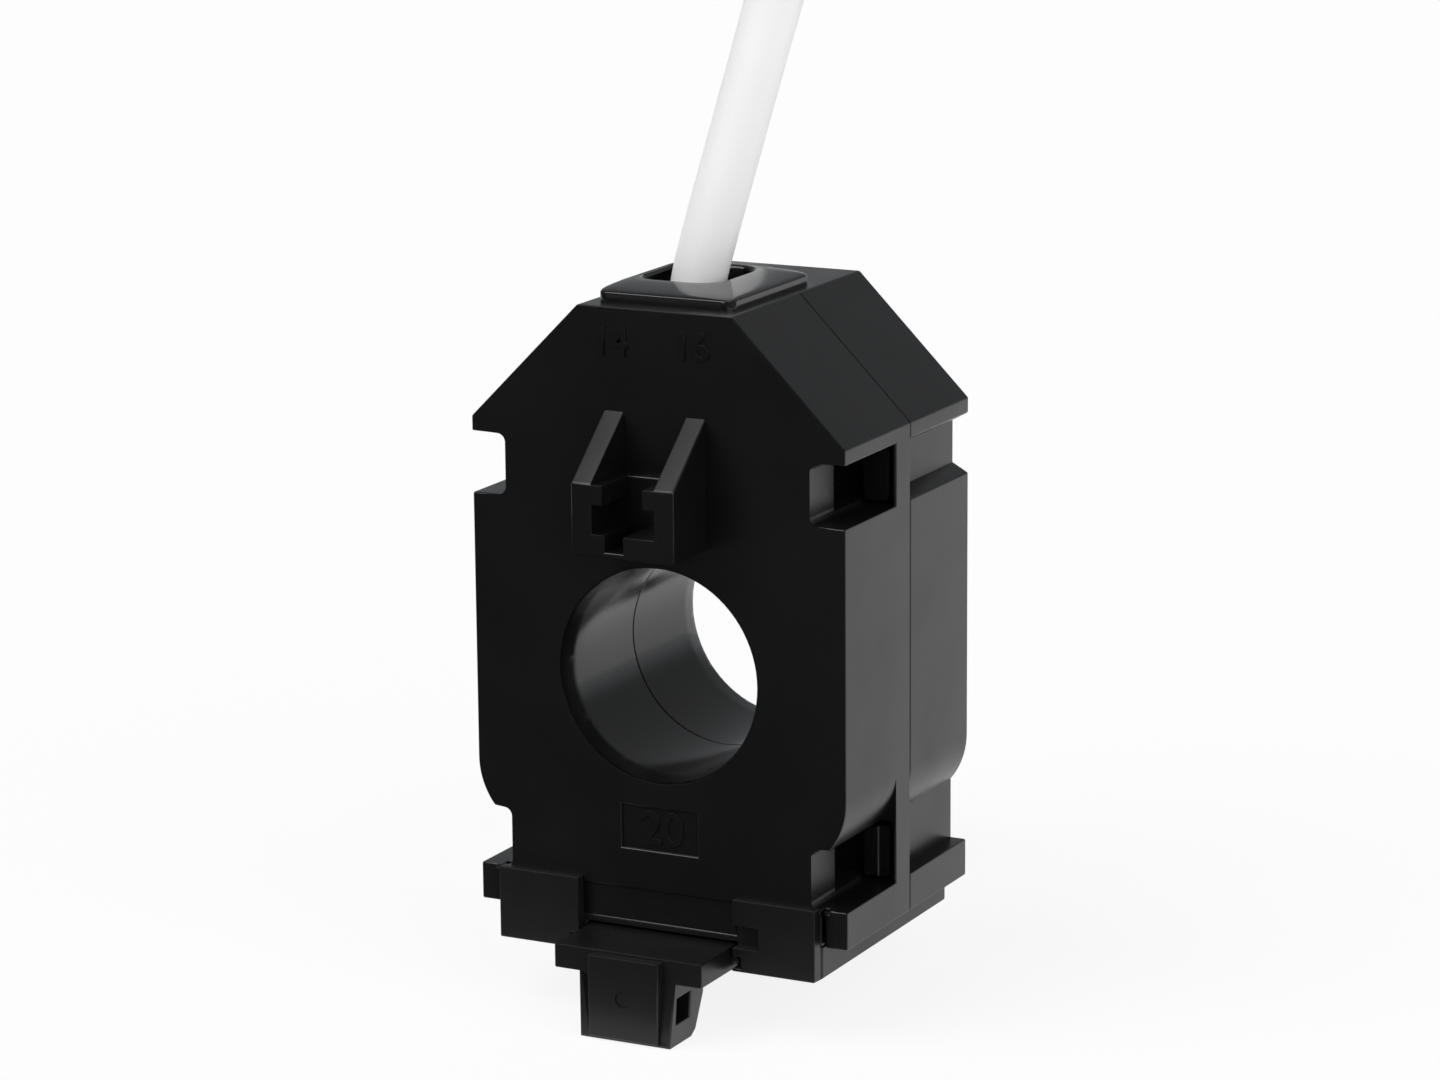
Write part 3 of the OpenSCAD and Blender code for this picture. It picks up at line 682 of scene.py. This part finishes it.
studio = {
    "floorHalf": 3.0,  # metres
    "floorColor": (0.86, 0.86, 0.86),
    "floorGlow": 0.87,
    "worldColor": (0.9, 0.92, 0.95),
    "worldStrength": (0.03, 0.28),  # in front, at the back
    "worldFade": (-0.5, 0.6),
    "horizonGain": (2.6, 1.0),  # near the horizon, above it
    "horizonFade": (0.03, 0.2),
    "cardColor": (0.04, 0.04, 0.04),
    "cardRoughness": 0.9,
    "cardArea": (-1.5, -1.6, 1.2, -0.03),  # metres, from x and y to x and y
    "cardLift": 0.2,
}


# White paper that shows white to the camera and to mirror rays, and keeps the object's shadow.
def addFloor():
    bm = bmesh.new()
    bmesh.ops.create_grid(bm, x_segments=2, y_segments=2, size=studio["floorHalf"])
    bmesh.ops.translate(bm, verts=bm.verts, vec=(0, 0, floorLevel))
    floor = addObject("floor", asMesh(bm, "floor"))
    paper = bpy.data.materials.new("floorPaper")
    paper.use_nodes = True
    paper.node_tree.nodes.clear()
    m = Nodes(paper.node_tree)
    rays = m.add("ShaderNodeLightPath").outputs
    seen = m.maths("MAXIMUM", rays["Is Camera Ray"], rays["Is Glossy Ray"])
    seen = m.maths("MAXIMUM", seen, rays["Is Transmission Ray"])
    diffuse = m.add("ShaderNodeBsdfDiffuse")
    diffuse.inputs["Color"].default_value = (*studio["floorColor"], 1)
    glow = m.add("ShaderNodeEmission")
    mix = m.add("ShaderNodeMixShader")
    m.link(m.maths("MULTIPLY", seen, studio["floorGlow"]), mix.inputs[0])
    m.link(diffuse.outputs[0], mix.inputs[1])
    m.link(glow.outputs[0], mix.inputs[2])
    m.link(mix.outputs[0], m.add("ShaderNodeOutputMaterial").inputs["Surface"])
    floor.data.materials.append(paper)


# A dark card on the floor in front keeps the front face from mirroring white paper.
def addCard():
    x0, y0, x1, y1 = studio["cardArea"]
    bm = bmesh.new()
    bmesh.ops.create_grid(bm, x_segments=1, y_segments=1, size=0.5)
    bmesh.ops.scale(bm, verts=bm.verts, vec=(x1 - x0, y1 - y0, 1))
    middle = ((x0 + x1) / 2, (y0 + y1) / 2, floorLevel + studio["cardLift"] * mm)
    bmesh.ops.translate(bm, verts=bm.verts, vec=middle)
    card = addObject("dark_card", asMesh(bm, "dark_card"))
    paint = bpy.data.materials.new("darkCard")
    paint.use_nodes = True
    shader = paint.node_tree.nodes["Principled BSDF"]
    shader.inputs["Base Color"].default_value = (*studio["cardColor"], 1)
    shader.inputs["Roughness"].default_value = studio["cardRoughness"]
    card.data.materials.append(paint)
    card.visible_camera = card.visible_diffuse = card.visible_shadow = card.visible_transmission = False


# A dim room, darker in front and lighter near the horizon.
def addWorld():
    world = bpy.data.worlds.new("room")
    bpy.context.scene.world = world
    world.use_nodes = True
    world.node_tree.nodes.clear()
    m = Nodes(world.node_tree)
    direction = m.add("ShaderNodeSeparateXYZ")
    m.link(m.add("ShaderNodeTexCoord").outputs["Generated"], direction.inputs[0])
    strength = m.spread(direction.outputs["Y"], *studio["worldStrength"], *studio["worldFade"])
    gain = m.spread(direction.outputs["Z"], *studio["horizonGain"], *studio["horizonFade"])
    room = m.add("ShaderNodeBackground")
    room.inputs["Color"].default_value = (*studio["worldColor"], 1)
    m.link(m.maths("MULTIPLY", strength, gain), room.inputs["Strength"])
    m.link(room.outputs[0], m.add("ShaderNodeOutputWorld").inputs["Surface"])


# Wide suns: each has its width across the sky in degrees.
lamps = [
    {"name": "skySun", "energy": 2.3, "width": 50, "from": (-0.5, -0.75, 1.1)},
    {"name": "sideSun", "energy": 2.0, "width": 60, "from": (0.95, -0.55, 0.6)},
]


def addLamps():
    for facts in lamps:
        data = bpy.data.lights.new(facts["name"], "SUN")
        data.energy = facts["energy"]
        data.angle = math.radians(facts["width"])
        place = Vector(facts["from"])
        aim = (-place).to_track_quat("-Z", "Y").to_matrix().to_4x4()
        addObject(facts["name"], data).matrix_world = Matrix.Translation(place) @ aim


addFloor()
addCard()
addWorld()
addLamps()
bpy.context.scene.view_settings.view_transform = "Standard"
print("stage set")
